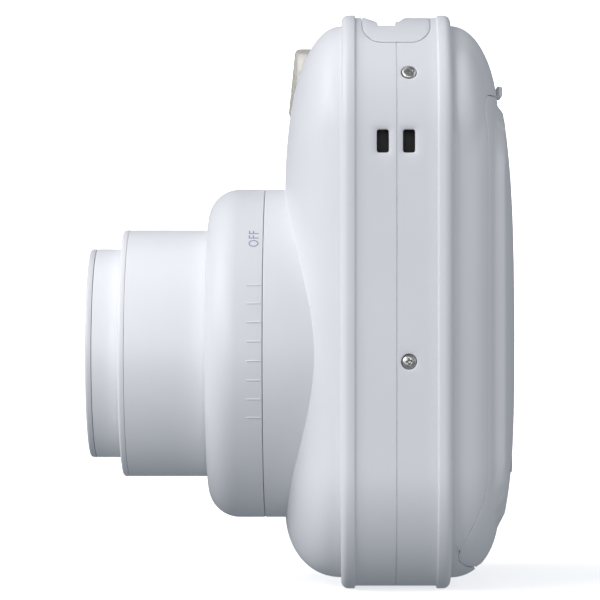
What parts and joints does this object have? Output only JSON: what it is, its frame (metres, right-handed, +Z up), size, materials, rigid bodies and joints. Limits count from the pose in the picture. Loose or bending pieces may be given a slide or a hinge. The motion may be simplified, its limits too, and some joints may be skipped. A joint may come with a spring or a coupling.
{
  "type": "instant camera",
  "caption": "White instant film camera with a turning ring that runs out a stepped lens, a film slot along the top, a built-in flash, a hinged film door and a battery cover.",
  "frame": {"origin": "centre of the footprint, on the plane the two rib bottoms stand on", "axes": "+Z up; -Y the way the lens points; +Y towards the film door; +X the user's left hand"},
  "size_m": [0.104, 0.0908, 0.122],
  "materials": {
    "white_shell": "satin moulded, faint lilac white",
    "white_trim": "smooth satin, faint lilac white",
    "black_plastic": "fine matt, light absorbing",
    "grey_plastic": "plain moulded",
    "steel": "bright zinc plated",
    "brass": "turned",
    "rubber": "fine ground",
    "lens_glass": "polished, clear",
    "clear_cover": "clear moulded, faint warm grey",
    "mirror": "bright reflector",
    "board_green": "solder mask over glass laminate"
  },
  "bodies": {
    "camera_body": {"battery_box": "black_plastic", "battery_contact": "steel", "battery_spring": "steel", "button_spring": "steel", "door_hinge_pin": "steel", "eyepiece": "lens_glass", "film_chamber": "black_plastic", "film_exit_frame": "white_trim", "flash_capacitor": "black_plastic", "flash_reflector": "mirror", "flash_tube": "lens_glass", "flash_window": "clear_cover", "front_case": "white_shell", "lens_collar": "white_shell", "light_sensor_window": "black_plastic", "main_board": "board_green", "motor": "steel", "rear_case": "white_shell", "roller_bracket_left": "grey_plastic", "roller_bracket_right": "grey_plastic", "shutter_switch": "black_plastic", "side_screw_left_lower": "steel", "side_screw_left_upper": "steel", "side_screw_right_lower": "steel", "side_screw_right_upper": "steel", "viewfinder_tube": "black_plastic", "viewfinder_window": "lens_glass"},
    "dial": {"dial_ring": "white_shell"},
    "mid_stage": {"mid_barrel": "white_shell", "mid_bezel": "white_trim"},
    "front_stage": {"front_barrel": "white_shell", "front_bezel": "white_trim", "front_lens": "lens_glass", "selfie_mirror": "mirror", "shutter_housing": "black_plastic", "rear_lens": "lens_glass"},
    "blade_left": {"shutter_blade_left": "black_plastic"},
    "blade_right": {"shutter_blade_right": "black_plastic"},
    "button": {"shutter_button": "white_trim"},
    "door": {"back_door": "white_shell", "door_liner": "black_plastic", "film_window": "clear_cover", "counter_window": "clear_cover", "pressure_spring_lower": "steel", "pressure_spring_upper": "steel"},
    "latch": {"door_latch": "white_trim"},
    "counter": {"counter_disc": "white_trim"},
    "drive": {"drive_roller": "steel"},
    "pressure": {"pressure_roller": "rubber"},
    "idler": {"idler_gear": "grey_plastic"},
    "pinion": {"motor_pinion": "brass"},
    "claw": {"film_claw": "steel"},
    "battery_door": {"battery_cover": "white_shell"}
  },
  "joints": [
    {"name": "dial_turn", "type": "hinge", "parent": "camera_body", "child": "dial", "pos_m": [0.009, -0.01375, 0.0495], "axis": [0, 1, 0], "range_deg": [-46.5, 0]},
    {"name": "mid_stage_slide", "type": "slide", "parent": "camera_body", "child": "mid_stage", "axis": [0, 1, 0], "range_m": [0, 0.0189]},
    {"name": "front_stage_slide", "type": "slide", "parent": "mid_stage", "child": "front_stage", "axis": [0, 1, 0], "range_m": [0, 0.0052]},
    {"name": "blade_left_swing", "type": "hinge", "parent": "front_stage", "child": "blade_left", "pos_m": [0.009, -0.03975, 0.0385], "axis": [0, 1, 0], "range_deg": [0, 28]},
    {"name": "blade_right_swing", "type": "hinge", "parent": "front_stage", "child": "blade_right", "pos_m": [0.009, -0.03875, 0.0385], "axis": [0, 1, 0], "range_deg": [-28, 0]},
    {"name": "button_press", "type": "slide", "parent": "camera_body", "child": "button", "axis": [0, 1, 0], "range_m": [0, 0.0012], "stiffness_N_per_m": 400, "springref_m": -0.0015},
    {"name": "door_swing", "type": "hinge", "parent": "camera_body", "child": "door", "pos_m": [0, 0.03735, 0.0048], "axis": [-1, 0, 0], "range_deg": [0, 95]},
    {"name": "latch_slide", "type": "slide", "parent": "camera_body", "child": "latch", "axis": [0, 0, 1], "range_m": [0, 0.0018], "stiffness_N_per_m": 300, "springref_m": -0.002},
    {"name": "counter_turn", "type": "hinge", "parent": "door", "child": "counter", "pos_m": [0.03, 0.03925, 0.027], "axis": [0, 1, 0], "range_deg": [0, 300]},
    {"name": "drive_roller_spin", "type": "hinge", "parent": "camera_body", "child": "drive", "pos_m": [0.009, 0.01475, 0.1075], "axis": [1, 0, 0], "continuous": true},
    {"name": "pressure_roller_spin", "type": "hinge", "parent": "camera_body", "child": "pressure", "pos_m": [0.009, 0.02175, 0.1075], "axis": [1, 0, 0], "continuous": true},
    {"name": "idler_spin", "type": "hinge", "parent": "camera_body", "child": "idler", "pos_m": [-0.0198, 0.00916, 0.1011], "axis": [1, 0, 0], "continuous": true},
    {"name": "pinion_spin", "type": "hinge", "parent": "camera_body", "child": "pinion", "pos_m": [-0.0198, 0.00916, 0.0941], "axis": [1, 0, 0], "continuous": true},
    {"name": "claw_slide", "type": "slide", "parent": "camera_body", "child": "claw", "axis": [0, 0, 1], "range_m": [0, 0.006]},
    {"name": "battery_door_swing", "type": "hinge", "parent": "camera_body", "child": "battery_door", "pos_m": [-0.0484, 0.0344, 0.045], "axis": [0, 0, -1], "range_deg": [0, 100]}
  ],
  "couplings": [
    {"joint": "mid_stage_slide", "follows": "dial_turn", "m_per_rad": -0.02328},
    {"joint": "front_stage_slide", "follows": "dial_turn", "m_per_rad": -0.0064},
    {"joint": "blade_right_swing", "follows": "blade_left_swing", "ratio": -1},
    {"joint": "pressure_roller_spin", "follows": "drive_roller_spin", "ratio": -1},
    {"joint": "idler_spin", "follows": "drive_roller_spin", "ratio": -0.7},
    {"joint": "pinion_spin", "follows": "drive_roller_spin", "ratio": 1.75}
  ]
}
